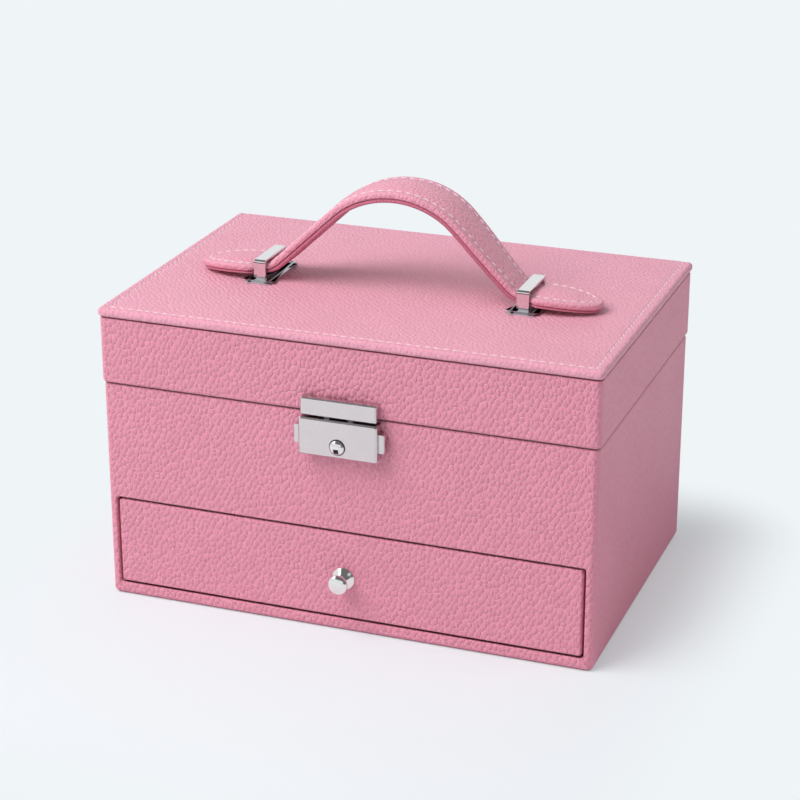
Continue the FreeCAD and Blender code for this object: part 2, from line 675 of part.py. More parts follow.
def make_drawer():
    half = open_w - S.drawer_gap
    low, high = S.base_top + S.drawer_gap, open_top - S.drawer_gap
    rear = -in_d + S.drawer_board
    cap = padded("drawer_cap", "XZ_Plane", rectangle((-half, half), (low, high)), -rear, S.skin + S.drawer_board)
    soften(cap, lambda m, a: abs(a.y) > 0.99, 1.5)
    front = (-half_d).value
    soften(cap, lambda m, a: near(m.y, front), 1.0)
    inside = ((-half + S.skin, half - S.skin), (low + S.skin, high - S.skin))
    hollow = box("drawer_cap_room", inside[0], (-in_d, rear + 0.5), inside[1])
    keep(cut("drawer_front_leather", cap, [hollow]))
    keep(box("drawer_front_board", inside[0], (-in_d, rear), inside[1]))

    floor, rim = S.base_top + 0.25, open_top - S.drawer_drop
    back = well_d - S.drawer_room
    out = half - 0.2
    inner = out - S.drawer_wall
    for side, sign in SIDES:
        keep(box("drawer_%s_side" % side, side_range(sign, inner, out),
                 (rear, back), (floor, rim)))
    keep(box("drawer_back", (-inner, inner), (back - S.drawer_wall, back),
             (floor, rim)))
    end = back - S.drawer_wall
    keep(box("drawer_bottom", (-inner, inner), (rear, end), (floor, floor + S.drawer_wall)))
    top = floor + S.drawer_wall
    wide = box("drawer_lining_outer", (-inner, inner), (rear, end), (top, rim - 0.5))
    room = box("drawer_lining_room", (-inner + S.lining, inner - S.lining),
               (rear + S.lining, end - S.lining), (top + S.lining, rim + 1.0))
    keep(cut("drawer_lining", wide, [room]))

    face = -half_d
    tip = face - S.knob_reach
    rim_r = S.knob_r
    neck = S.knob_neck
    reach = S.knob_reach
    shape = [(0.0, face), (rim_r + 0.75, face), (rim_r + 0.55, face - 0.08 * reach),
             (neck + 0.5, face - 0.33 * reach), (neck, face - 0.49 * reach),
             (neck + 0.5, face - 0.63 * reach), (rim_r, tip + 0.17 * reach),
             (rim_r, tip + 0.08 * reach), (rim_r - 0.7, tip + 0.03 * reach), (0.0, tip)]
    knob = turned("knob", shape, 0.0)
    bind(knob, "Placement.Base.z", S.base_top + S.open_h / 2 - S.knob_drop)
    keep(knob)


make_body_shell()
make_lid_shell()
make_hinges()
make_lock_case()
for side, sign in SIDES:
    make_release_tab(side, sign)
    make_tab_spring(side, sign)
make_key()
make_hasp()
make_keepers()
make_handle()
make_drawer()
doc.recompute()

faults = [item.Label for item in doc.Objects if {"Invalid", "Error"} & set(item.State)]
if faults:
    raise RuntimeError("not rebuilt: " + ", ".join(faults))
os.makedirs("parts", exist_ok=True)
for label in NODES:
    shape = doc.getObjectsByLabel(label)[0].Shape
    if shape.isNull() or not shape.isValid():
        raise RuntimeError("no valid solid: " + label)
    shape.exportStep("parts/%s.step" % label)
print("%d pieces written" % len(NODES))
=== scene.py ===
# %% [markdown]
# # A pink makeup train case
# The case is a small leather-covered box with a drawer, a hinged lid with a padded top and a bowed
# strap. The solids come from the CAD frame and give the sizes and places; the soft handle follows
# the photo and departs from them by up to three millimetres. Blender adds what the eye wants: soft
# covers, thread, polished metal and grain.

# %% Load the frame
import math

import bmesh
import bpy
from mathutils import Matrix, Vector


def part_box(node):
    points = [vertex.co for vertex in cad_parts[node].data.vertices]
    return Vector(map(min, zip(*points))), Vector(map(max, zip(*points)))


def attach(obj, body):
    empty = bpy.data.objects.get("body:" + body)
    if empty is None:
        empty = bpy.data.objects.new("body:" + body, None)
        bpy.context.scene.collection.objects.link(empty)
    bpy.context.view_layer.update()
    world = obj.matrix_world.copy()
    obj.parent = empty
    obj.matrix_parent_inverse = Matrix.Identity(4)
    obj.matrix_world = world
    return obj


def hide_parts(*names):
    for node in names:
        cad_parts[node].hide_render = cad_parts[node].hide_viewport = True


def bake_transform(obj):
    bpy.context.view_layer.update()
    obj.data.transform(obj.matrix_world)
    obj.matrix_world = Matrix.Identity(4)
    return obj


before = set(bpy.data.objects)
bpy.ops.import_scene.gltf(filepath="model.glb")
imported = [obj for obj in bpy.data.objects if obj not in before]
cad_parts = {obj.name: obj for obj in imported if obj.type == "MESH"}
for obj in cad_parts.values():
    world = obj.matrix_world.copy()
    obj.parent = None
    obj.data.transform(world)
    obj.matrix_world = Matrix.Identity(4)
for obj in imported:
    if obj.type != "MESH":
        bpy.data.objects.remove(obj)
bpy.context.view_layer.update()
MM = 0.001

# %% Sizes that several pieces share, in millimetres
BODY_X, FRONT_Y, BODY_LOW, BODY_TOP = 120, -80.25, 0.3, 108.22
MOUTH_X, MOUTH_BACK, MOUTH_LOW, MOUTH_TOP = 115.75, -76.6, 6, 50.7
LID_LOW, LID_TOP, PANEL_LOW, PANEL_TOP = 108.85, 140.6, 141.3, 145.3
SEAM, TURN_IN, SKIN = 108.5, 2.6, 0.4
STRAP_Y, KEEPER_X = -7.0, 65.5
print("body", 2 * BODY_X, "mm wide, seam at", BODY_TOP, "to", LID_LOW, "mm")

# %% [markdown]
# ## A small bench of helpers
# Every operator works on what is selected, so the first habit is to clear the selection. The
# helpers below do that, add a starting block, pick faces or edges by where they are, and apply a
# modifier. They work in millimetres, because that is how a case maker measures.


# %% Selecting and starting a piece
def clear():
    if bpy.context.mode != "OBJECT":
        bpy.ops.object.mode_set(mode="OBJECT")
    bpy.ops.object.select_all(action="DESELECT")


def take(piece):
    clear()
    piece.select_set(True)
    bpy.context.view_layer.objects.active = piece


def settle(name):
    """Names the new object and moves its place, turn and size into its mesh."""
    piece = bpy.context.object
    bpy.ops.object.transform_apply(location=True, rotation=True, scale=True)
    piece.name = piece.data.name = name
    return piece


def add_block(name, low, high):
    clear()
    middle = [(a + b) / 2 * MM for a, b in zip(low, high)]
    size = [(b - a) * MM for a, b in zip(low, high)]
    bpy.ops.mesh.primitive_cube_add(size=1, location=middle, scale=size)
    return settle(name)


def solid_box(node):
    """Lowest and highest corner of a CAD solid, in millimetres."""
    return [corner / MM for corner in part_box(node)]


# %% Picking parts of a mesh by place
def choose(piece, kind, test):
    """Opens the piece and selects the parts whose middle (mm) and direction pass the test."""
    take(piece)
    bpy.ops.object.mode_set(mode="EDIT")
    bpy.ops.mesh.select_mode(type=kind)
    bpy.ops.mesh.select_all(action="DESELECT")
    form = bmesh.from_edit_mesh(piece.data)
    parts = {"VERT": form.verts, "EDGE": form.edges, "FACE": form.faces}[kind]
    for part in parts:
        if kind == "VERT":
            middle, way = part.co, part.normal
        elif kind == "EDGE":
            first, last = part.verts[0].co, part.verts[1].co
            middle, way = (first + last) / 2, (last - first).normalized()
        else:
            middle, way = part.calc_center_median(), part.normal
        if test(middle / MM, way):
            part.select_set(True)
    form.select_flush_mode()
    bmesh.update_edit_mesh(piece.data)


def near(value, target, slack=0.02):
    return abs(value - target) < slack


def slice_all(piece, point, normal):
    choose(piece, "FACE", lambda m, n: True)
    bpy.ops.mesh.bisect(plane_co=[c * MM for c in point], plane_no=normal)


def extrude(x=0.0, y=0.0, z=0.0):
    bpy.ops.mesh.extrude_region_move(TRANSFORM_OT_translate={"value": (x * MM, y * MM, z * MM)})


def bevel(size, segments, what="EDGES"):
    bpy.ops.mesh.bevel(offset=size * MM, offset_type="OFFSET", segments=segments, affect=what)


def inset(width, depth=0.0):
    bpy.ops.mesh.inset(thickness=width * MM, depth=depth * MM, use_boundary=True)


def nudge(x=0.0, y=0.0, z=0.0):
    bpy.ops.transform.translate(value=(x * MM, y * MM, z * MM))


def round_edges(piece, size, segments, test):
    choose(piece, "EDGE", test)
    bevel(size, segments)


def remove_faces(piece, test):
    choose(piece, "FACE", test)
    bpy.ops.mesh.delete(type="FACE")


# %% Finishing a piece
def modify(piece, kind, **settings):
    take(piece)
    tool = piece.modifiers.new(kind.lower(), kind)
    for key, value in settings.items():
        setattr(tool, key, value)
    bpy.ops.object.modifier_apply(modifier=tool.name)


def carve(piece, cutter):
    modify(piece, "BOOLEAN", object=cutter, operation="DIFFERENCE", solver="EXACT")
    bpy.data.objects.remove(cutter)


def smooth(piece, angle=40, weighted=True):
    take(piece)
    bpy.ops.object.shade_smooth_by_angle(angle=math.radians(angle))
    if weighted:
        modify(piece, "WEIGHTED_NORMAL", keep_sharp=True)


def outward(piece):
    choose(piece, "FACE", lambda m, n: True)
    bpy.ops.mesh.remove_doubles(threshold=0.00001)
    bpy.ops.mesh.normals_make_consistent(inside=False)


def dress(piece, finish, body=None, stands_for=()):
    clear()
    piece.data.materials.clear()
    piece.data.materials.append(finish)
    if body:
        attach(piece, body)
    if stands_for:
        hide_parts(*stands_for)
    print(piece.name, len(piece.data.polygons), "faces on", body or "a blend")


# %% [markdown]
# ## Camera
# The photograph was taken with a long lens from a little to the right and above. The angles and the
# distance were fitted to the edges of the box, so the same numbers put the same edges on the same
# pixels here.

# %% Camera
azimuth, elevation, distance = math.radians(20.27), math.radians(21.51), 1.1209
aim = Vector((-0.001735, 0, 0.08598))
back = Vector((math.sin(azimuth) * math.cos(elevation), -math.cos(azimuth) * math.cos(elevation),
               math.sin(elevation)))
clear()
bpy.ops.object.camera_add(location=aim + back * distance,
                          rotation=back.to_track_quat("Z", "Y").to_euler())
camera = bpy.context.object
camera.data.lens, camera.data.sensor_width, camera.data.clip_start = 104.1, 36.0, 0.02
bpy.context.scene.camera = camera
bpy.context.scene.view_settings.view_transform = "Standard"
print("camera at", [round(c, 3) for c in camera.location])

# %% [markdown]
# ## Building materials from nodes
# A material is a small wiring diagram. Two helpers keep the wiring short: one adds a node and sets
# its sockets, the other joins numbers or sockets with a Math node. Colours are written as they look
# on screen and changed to linear light here.


# %% Node helpers
def screen(red, green, blue):
    def linear(c):
        c /= 255
        return c / 12.92 if c <= 0.04045 else ((c + 0.055) / 1.055) ** 2.4
    return (linear(red), linear(green), linear(blue), 1.0)


def feed(tree, socket, value):
    """Joins a socket to another one, or sets it to a plain value."""
    if isinstance(value, bpy.types.NodeSocket):
        tree.links.new(value, socket)
    else:
        socket.default_value = value


def add(tree, kind, sockets=None, **settings):
    made = tree.nodes.new("ShaderNode" + kind)
    for key, value in settings.items():
        setattr(made, key, value)
    for key, value in (sockets or {}).items():
        feed(tree, made.inputs[key], value)
    return made


def calc(tree, operation, *values):
    return add(tree, "Math", dict(enumerate(values)), operation=operation).outputs[0]


def blend_colour(tree, amount, first, second):
    made = add(tree, "Mix", data_type="RGBA")
    for key, value in (("Factor_Float", amount), ("A_Color", first), ("B_Color", second)):
        feed(tree, next(s for s in made.inputs if s.identifier == key), value)
    return next(s for s in made.outputs if s.identifier == "Result_Color")


def ramp(tree, value, low, high, out_low=0.0, out_high=1.0):
    return add(tree, "MapRange", {"Value": value, "From Min": low, "From Max": high,
                                  "To Min": out_low, "To Max": out_high},
               interpolation_type="SMOOTHSTEP").outputs[0]


def new_group(name, inputs, outputs):
    tree = bpy.data.node_groups.new(name, "ShaderNodeTree")
    for label, kind, value in inputs:
        socket = tree.interface.new_socket(label, in_out="INPUT", socket_type="NodeSocket" + kind)
        if value is not None:
            socket.default_value = value
    for label, kind in outputs:
        tree.interface.new_socket(label, in_out="OUTPUT", socket_type="NodeSocket" + kind)
    return tree, tree.nodes.new("NodeGroupInput"), tree.nodes.new("NodeGroupOutput")


def place_group(tree, group, **sockets):
    made = tree.nodes.new("ShaderNodeGroup")
    made.node_tree = group
    for key, value in sockets.items():
        feed(tree, made.inputs[key], value)
    return made.outputs


def new_finish(name):
    finish = bpy.data.materials.new(name)
    finish.use_nodes = True
    tree = finish.node_tree
    shader = tree.nodes["Principled BSDF"]
    place = add(tree, "TexCoord").outputs["Object"]
    return finish, tree, shader, place


def emboss(tree, shader, height, strength, distance):
    bump = add(tree, "Bump", {"Height": height, "Strength": strength, "Distance": distance})
    tree.links.new(bump.outputs[0], shader.inputs["Normal"])


def shaded(tone, amount):
    return tuple(c * amount for c in tone[:3]) + (1,)


# %% [markdown]
# ## Leather grain
# The cover is coated leather pressed with a pebble grain: rounded cells two to three millimetres
# across, parted by narrow creases. An image could carry it, but cells made by a Voronoi texture
# stay sharp at any size. The place is first pushed about by noise so that no cell is a neat
# polygon. The group gives a height, a crease mask and a slow mottle, and each leather sets its own
# size.

# %% Pebble grain group
pebble, inside, outside = new_group(
    "pebble_grain",
    [("Place", "Vector", None), ("Cells", "Float", 340.0), ("Warp", "Float", 0.0012)],
    [("Height", "Float"), ("Crease", "Float"), ("Mottle", "Float")])
spot, cell_scale = inside.outputs["Place"], inside.outputs["Cells"]
push = add(pebble, "TexNoise", {"Vector": spot, "Detail": 2.0, "Scale": 260.0})
centred = add(pebble, "VectorMath", {0: push.outputs["Color"], 1: (0.5, 0.5, 0.5)},
              operation="SUBTRACT")
shift = add(pebble, "VectorMath", {0: centred.outputs[0], "Scale": inside.outputs["Warp"]},
            operation="SCALE")
pushed = add(pebble, "VectorMath", {0: spot, 1: shift.outputs[0]}, operation="ADD")
moved = add(pebble, "Mapping", {"Vector": pushed.outputs[0], "Rotation": (0, 0, 0.65),
                                "Scale": (1.15, 0.85, 1)})


def voronoi(feature, scale, randomness):
    return add(pebble, "TexVoronoi", {"Vector": moved.outputs[0], "Scale": scale,
                                      "Randomness": randomness},
               feature=feature, voronoi_dimensions="2D").outputs["Distance"]


edge_gap = voronoi("DISTANCE_TO_EDGE", cell_scale, 0.7)
from_middle = voronoi("F1", cell_scale, 0.7)
fine_gap = voronoi("DISTANCE_TO_EDGE", calc(pebble, "MULTIPLY", cell_scale, 2.6), 1.0)
pores = add(pebble, "TexNoise", {"Vector": spot, "Detail": 4.0, "Scale": 2600.0})
slow = add(pebble, "TexNoise", {"Vector": spot, "Detail": 3.0, "Scale": 38.0})
plateau = ramp(pebble, edge_gap, 0.0, 0.16)
small = ramp(pebble, fine_gap, 0.0, 0.2)
bulge = calc(pebble, "MINIMUM", calc(pebble, "POWER", from_middle, 2.0), 0.32)
height = calc(pebble, "MULTIPLY_ADD", bulge, -1.5, 0.62)
height = calc(pebble, "MULTIPLY_ADD", plateau, 0.17, height)
height = calc(pebble, "MULTIPLY_ADD", small, 0.04, height)
height = calc(pebble, "MULTIPLY_ADD", pores.outputs["Fac"], 0.06, height)
pebble.links.new(height, outside.inputs["Height"])
pebble.links.new(calc(pebble, "SUBTRACT", 1.0, plateau), outside.inputs["Crease"])
pebble.links.new(slow.outputs["Fac"], outside.inputs["Mottle"])
print("group", pebble.name, len(pebble.nodes), "nodes")


# %% [markdown]
# ## Leather finishes
# One recipe makes all the leathers: a base pink, a second pink painted in the creases, a slow
# change of tone and a soft sheen. The crease pink is a painted highlight, lighter than the base,
# except on the strap's lining, where it is darker as painted shade. The top and the strap get a
# lighter, paler pink than the front as painted sheen, and the lining a darker one as painted shade.
# The front has large pebbles, the top and the strap are pressed finer, so each gets its own cell
# size and depth. The side faces, turned along x, are smoother in the photo.

# %% Leather recipe
def flatten(tree, place):
    """Lays the pattern flat on whichever way a face looks: front, side or top."""
    look = add(tree, "SeparateXYZ", {0: add(tree, "TexCoord").outputs["Normal"]}).outputs
    at = add(tree, "SeparateXYZ", {0: place}).outputs
    side = calc(tree, "GREATER_THAN", calc(tree, "ABSOLUTE", look["X"]), 0.75)
    top = calc(tree, "GREATER_THAN", calc(tree, "ABSOLUTE", look["Z"]), 0.6)
    first = calc(tree, "MULTIPLY_ADD", side, calc(tree, "SUBTRACT", at["Y"], at["X"]), at["X"])
    last = calc(tree, "MULTIPLY_ADD", top, calc(tree, "SUBTRACT", at["Y"], at["Z"]), at["Z"])
    return add(tree, "CombineXYZ", {0: first, 1: last, 2: 0.0}).outputs[0]


def leather(name, tone, crease_painted_light, cells, warp, depth, rough, side_calm=0.0):
    finish, tree, shader, place = new_finish(name)
    across = flatten(tree, place)
    grain = place_group(tree, pebble, Place=across, Cells=cells, Warp=warp)
    base = blend_colour(tree, ramp(tree, grain["Mottle"], 0.3, 0.7), shaded(tone, 0.96), tone)
    crease = calc(tree, "MULTIPLY", grain["Crease"], 0.5)
    strength = 1.0
    if side_calm:
        facing = add(tree, "SeparateXYZ", {0: add(tree, "TexCoord").outputs["Normal"]}).outputs["X"]
        calm = ramp(tree, calc(tree, "ABSOLUTE", facing), 0.35, 0.95, 1.0, 1.0 - side_calm)
        crease = calc(tree, "MULTIPLY", crease, calm)
        strength = calm
    # The crease pink is painted light: lighter than the base as a painted highlight on the pebbles'
    # edges, darker on the lining as painted shade.
    colour = blend_colour(tree, crease, base, crease_painted_light)
    tree.links.new(colour, shader.inputs["Base Color"])
    wear = ramp(tree, grain["Height"], 0.2, 0.95, rough + 0.10, rough - 0.06)
    tree.links.new(wear, shader.inputs["Roughness"])
    lift = calc(tree, "MULTIPLY", grain["Height"], strength)
    emboss(tree, shader, lift, 1.0, depth * MM)
    shader.inputs["Specular IOR Level"].default_value = 0.38
    shader.inputs["Sheen Weight"].default_value = 0.05
    shader.inputs["Sheen Roughness"].default_value = 0.5
    return finish


# Front pink. Its lighter crease pink is a painted highlight.
pink_leather = leather("pink_leather", screen(229, 142, 164), screen(246, 182, 200),
                       385, 0.0010, 0.74, 0.42, 0.68)
# Lighter, paler pink than the front: painted sheen on the top panel. Its lighter creases are
# painted highlight.
panel_leather = leather("panel_leather", screen(235, 163, 183), screen(241, 174, 193),
                        450, 0.0011, 0.46, 0.46)
# Darker pink than the strap's top: painted shade on the strap's underside and edges. Its darker
# creases are painted shade too.
strap_lining_painted_shade = leather("strap_lining_painted_shade", screen(204, 118, 140), screen(170, 84, 108),
                       700, 0.0016, 0.2, 0.55)
# Lighter, paler pink than the front: painted sheen on the strap. Its lighter creases are painted
# highlight.
strap_leather = leather("strap_leather", screen(233, 160, 179), screen(238, 170, 188),
                        500, 0.002, 0.42, 0.46)
print("leathers ready")

# %% [markdown]
# ## Metals, cloth, board and thread
# Polished and satin metal differ only in how rough they are. Neither is perfectly even, so a group
# of fine noise drives the roughness, and the satin faces get short brush marks. Cloth is a weave of
# wave textures, board is speckled fibre, and thread is a twisted pale cotton. Images could show all
# of these, but noise needs no seams and holds at any distance.

# %% Metal wear group
metal_wear, inside, outside = new_group(
    "metal_wear",
    [("Place", "Vector", None), ("Stretch", "Vector", (1.0, 1.0, 1.0)), ("Rough", "Float", 0.2),
     ("Spread", "Float", 0.1)],
    [("Roughness", "Float"), ("Cloud", "Float"), ("Marks", "Float")])
spot, spread = inside.outputs["Place"], inside.outputs["Spread"]
stretch = add(metal_wear, "Mapping", {"Vector": spot, "Scale": inside.outputs["Stretch"]})
marks = add(metal_wear, "TexNoise", {"Vector": stretch.outputs[0], "Scale": 900.0, "Detail": 4.0})
cloud = add(metal_wear, "TexNoise", {"Vector": spot, "Scale": 130.0, "Detail": 2.0})
uneven = calc(metal_wear, "MULTIPLY_ADD", spread, -0.5, inside.outputs["Rough"])
for noise in (cloud, marks):
    uneven = calc(metal_wear, "MULTIPLY_ADD", noise.outputs["Fac"], spread, uneven)
metal_wear.links.new(calc(metal_wear, "MAXIMUM", uneven, 0.03), outside.inputs["Roughness"])
metal_wear.links.new(cloud.outputs["Fac"], outside.inputs["Cloud"])
metal_wear.links.new(marks.outputs["Fac"], outside.inputs["Marks"])
print("group", metal_wear.name, len(metal_wear.nodes), "nodes")


# %% Metal recipe
def metal(name, tone, rough, spread, brushed=0.0):
    finish, tree, shader, place = new_finish(name)
    worn = place_group(tree, metal_wear, Place=place, Rough=rough, Spread=spread,
                       Stretch=(1.0, 1.0, 14.0) if brushed else (1.0, 1.0, 1.0))
    tree.links.new(worn["Roughness"], shader.inputs["Roughness"])
    colour = blend_colour(tree, worn["Cloud"], shaded(tone, 0.93), tone)
    tree.links.new(colour, shader.inputs["Base Color"])
    shader.inputs["Metallic"].default_value = 1.0
    if brushed:
        emboss(tree, shader, worn["Marks"], brushed, 0.00003)
    return finish


bright_chrome = metal("bright_chrome", screen(240, 236, 235), 0.08, 0.04)
plate_chrome = metal("plate_chrome", screen(226, 224, 229), 0.30, 0.10)
lock_metal = metal("lock_metal", screen(222, 212, 213), 0.22, 0.08, 0.5)
hinge_steel = metal("hinge_steel", screen(206, 206, 210), 0.22, 0.10, 0.6)
inner_steel = metal("inner_steel", screen(176, 176, 182), 0.32, 0.12, 0.6)
print("metals ready")


# %% Speckle group
speckle, inside, outside = new_group(
    "speckle", [("Place", "Vector", None), ("Grain", "Float", 700.0)], [("Amount", "Float")])
spot, grain = inside.outputs["Place"], inside.outputs["Grain"]
specks = add(speckle, "TexNoise", {"Vector": spot, "Scale": grain, "Detail": 6.0, "Roughness": 0.7})
fibres = add(speckle, "Mapping", {"Vector": spot, "Scale": (1, 1, 6)})
strands = add(speckle, "TexNoise", {"Vector": fibres.outputs[0], "Detail": 3.0,
                                    "Scale": calc(speckle, "MULTIPLY", grain, 0.5)})
amount = calc(speckle, "MULTIPLY", specks.outputs["Fac"], strands.outputs["Fac"])
speckle.links.new(amount, outside.inputs["Amount"])
print("group", speckle.name, len(speckle.nodes), "nodes")


# %% Cloth, board, thread and glass
def cloth(name, tone, shade, threads):
    finish, tree, shader, place = new_finish(name)
    waves = [add(tree, "TexWave", {"Vector": place, "Scale": threads, "Distortion": 0.6},
                 bands_direction=way).outputs["Fac"] for way in "XYZ"]
    weave = calc(tree, "MAXIMUM", calc(tree, "MAXIMUM", waves[0], waves[1]), waves[2])
    fuzz = add(tree, "TexNoise", {"Vector": place, "Scale": 420.0, "Detail": 3.0}).outputs["Fac"]
    mixed = calc(tree, "MULTIPLY_ADD", fuzz, 0.4, calc(tree, "MULTIPLY", weave, 0.6))
    tree.links.new(blend_colour(tree, mixed, shade, tone), shader.inputs["Base Color"])
    tree.links.new(ramp(tree, fuzz, 0.3, 0.7, 0.82, 0.95), shader.inputs["Roughness"])
    emboss(tree, shader, mixed, 0.8, 0.00012)
    shader.inputs["Sheen Weight"].default_value = 0.25
    return finish


def speckled(name, tone, shade, rough, grain):
    finish, tree, shader, place = new_finish(name)
    amount = place_group(tree, speckle, Place=place, Grain=grain)["Amount"]
    colour = blend_colour(tree, ramp(tree, amount, 0.1, 0.42), shade, tone)
    tree.links.new(colour, shader.inputs["Base Color"])
    tree.links.new(ramp(tree, amount, 0.1, 0.4, rough + 0.06, rough - 0.06),
                   shader.inputs["Roughness"])
    emboss(tree, shader, amount, 0.6, 0.00008)
    return finish


def thread(name, tone, shade):
    finish, tree, shader, place = new_finish(name)
    twist = add(tree, "TexWave", {"Vector": place, "Scale": 900.0, "Distortion": 1.0},
                bands_direction="DIAGONAL").outputs["Fac"]
    tree.links.new(blend_colour(tree, twist, shade, tone), shader.inputs["Base Color"])
    tree.links.new(ramp(tree, twist, 0.0, 1.0, 0.7, 0.5), shader.inputs["Roughness"])
    emboss(tree, shader, twist, 0.5, 0.00006)
    return finish


# Near-black speckled finish: painted shade for the gap round the key cylinder and the inside of the
# keyhole.
painted_gap_shade = speckled("painted_gap_shade", screen(44, 38, 40), screen(26, 22, 24), 0.7, 900.0)
lining_cloth = cloth("lining", screen(206, 150, 166), screen(176, 116, 134), 260.0)
# The board's dusky rose is partly its own colour and partly painted shade: the tone is set dark and
# red so that the gaps where the board shows look like dark red shade.
fibre_board_gap_shade = speckled("board", screen(148, 98, 108), screen(116, 72, 82), 0.85, 700.0)
base_sheet = speckled("base_cover", screen(196, 126, 148), screen(164, 98, 120), 0.7, 1200.0)
pale_thread = thread("pale_thread", screen(248, 228, 234), screen(230, 196, 207))

mirror_finish, tree, shader, place = new_finish("mirror")
haze = add(tree, "TexNoise", {"Vector": place, "Scale": 24.0, "Detail": 4.0})
tree.links.new(ramp(tree, haze.outputs["Fac"], 0.35, 0.75, 0.015, 0.05), shader.inputs["Roughness"])
silver = blend_colour(tree, haze.outputs["Fac"], screen(224, 229, 231), screen(234, 238, 239))
tree.links.new(silver, shader.inputs["Base Color"])
shader.inputs["Metallic"].default_value = 1.0
print("cloth, board, thread and mirror ready")

# %% Finishes on the CAD nodes that stay
finish_of_slot = {"pink_leather": pink_leather, "panel_leather": panel_leather,
                  "strap_leather": strap_leather, "base_cover": base_sheet, "board": fibre_board_gap_shade,
                  "lining": lining_cloth, "bright_chrome": bright_chrome, "lock_metal": lock_metal,
                  "hinge_steel": hinge_steel, "inner_steel": inner_steel, "mirror": mirror_finish}
for name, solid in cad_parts.items():
    for place in solid.material_slots:
        label = place.material.name.split(".")[0]
        if label in finish_of_slot:
            place.material = finish_of_slot[label]
        else:
            print("no finish for", name, label)
print(len(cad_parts), "solids looked over")

# %% [markdown]
# ## Body cover
# One skin of leather is glued round the box, turned in over the top rim and into the drawer mouth.
# It could be a plain block, but then the mouth would have hard edges. So a block gets rounded
# corners, a rounded cutter takes out the mouth, the open top and bottom go, and a Solidify gives
# the skin its thickness.


# %% Turned-in rim
def open_rim(piece, way):
    """Opens the top (way 1) or the bottom (way -1) and leaves a turned-in lip."""
    choose(piece, "FACE", lambda m, n: way * n.z > 0.99 and abs(m.z - SEAM) < 1)
    inset(TURN_IN)
    remove_faces(piece, lambda m, n: way * n.z > 0.99 and abs(m.z - SEAM) < 1
                 and abs(m.x) < 100 and abs(m.y) < 70)


# %% Body cover
case_wrap = add_block("case_wrap", (-BODY_X, FRONT_Y, BODY_LOW), (BODY_X, -FRONT_Y, BODY_TOP))
round_edges(case_wrap, 3.0, 6, lambda m, d: abs(d.z) > 0.9)
round_edges(case_wrap, 2.0, 5, lambda m, d: near(m.z, BODY_LOW))
round_edges(case_wrap, 1.4, 5, lambda m, d: near(m.z, BODY_TOP))
mouth = add_block("mouth", (-MOUTH_X, -90, MOUTH_LOW), (MOUTH_X, MOUTH_BACK, MOUTH_TOP))
round_edges(mouth, 1.3, 4, lambda m, d: abs(d.y) > 0.9)
carve(case_wrap, mouth)
round_edges(case_wrap, 1.0, 4, lambda m, d: near(m.y, FRONT_Y) and abs(m.x) < MOUTH_X + 0.15
            and MOUTH_LOW - 0.1 < m.z < MOUTH_TOP + 0.1)
remove_faces(case_wrap, lambda m, n: near(m.y, MOUTH_BACK))
remove_faces(case_wrap, lambda m, n: n.z < -0.99 and m.z < 1)
open_rim(case_wrap, 1)

# %% Mitre folds at the mouth's lower corners
# The leather is folded over itself there, so a thin line is pressed in from corner to corner.
for side in (-1, 1):
    fold = Vector((side * 5.7, 0, 4.25)).normalized()
    corner = Vector((side * MOUTH_X, -80, MOUTH_LOW))
    for offset in (-0.4, 0.0, 0.4):
        slice_all(case_wrap, corner + fold * offset, fold)
    choose(case_wrap, "VERT", lambda m, n: abs((m - corner).dot(fold)) < 0.1 and m.y < -78.9
           and m.z < MOUTH_LOW + 0.5 and abs(m.x) > 114)
    nudge(y=0.4)
modify(case_wrap, "SOLIDIFY", thickness=SKIN * MM, offset=-1.0)
smooth(case_wrap)
dress(case_wrap, pink_leather, "case", ["body_leather"])

# %% [markdown]
# ## Lid cover
# The lid skin is the same idea without a mouth. Its lower rim is turned in and rounded, so that the
# seam between lid and body reads as a thin dark line with soft lips.

# %% Lid cover
lid_wrap = add_block("lid_wrap", (-120.6, -80.85, LID_LOW), (120.6, 80.85, LID_TOP))
round_edges(lid_wrap, 3.0, 6, lambda m, d: abs(d.z) > 0.9)
round_edges(lid_wrap, 1.4, 5, lambda m, d: near(m.z, LID_LOW))
round_edges(lid_wrap, 0.5, 3, lambda m, d: near(m.z, LID_TOP))
remove_faces(lid_wrap, lambda m, n: n.z > 0.99)
open_rim(lid_wrap, -1)
modify(lid_wrap, "SOLIDIFY", thickness=SKIN * MM, offset=-1.0)
smooth(lid_wrap)
dress(lid_wrap, pink_leather, "lid", ["lid_leather"])

# %% [markdown]
# ## Drawer front
# The drawer front is a board with leather pulled round its edges. A block gets small round corners
# and a fuller round along the face, and the back is opened so that the cover is a skin.

# %% Drawer front
drawer_wrap = add_block("drawer_wrap", (-114.75, FRONT_Y, 6.95), (114.75, -75.45, 49.7))
round_edges(drawer_wrap, 1.5, 5, lambda m, d: abs(d.y) > 0.9)
round_edges(drawer_wrap, 1.2, 5, lambda m, d: near(m.y, FRONT_Y))
remove_faces(drawer_wrap, lambda m, n: n.y > 0.99)
modify(drawer_wrap, "SOLIDIFY", thickness=0.8 * MM, offset=-1.0)
smooth(drawer_wrap)
dress(drawer_wrap, pink_leather, "drawer", ["drawer_front_leather"])

# %% [markdown]
# ## Padded top
# The top is a board with a thin pad under the leather, sewn down along the front and both sides.
# A cushion simulation could shape it, but the real one is almost flat. So a block with a rolled
# edge is cut where the thread runs, and the cut line is pressed down into a groove.

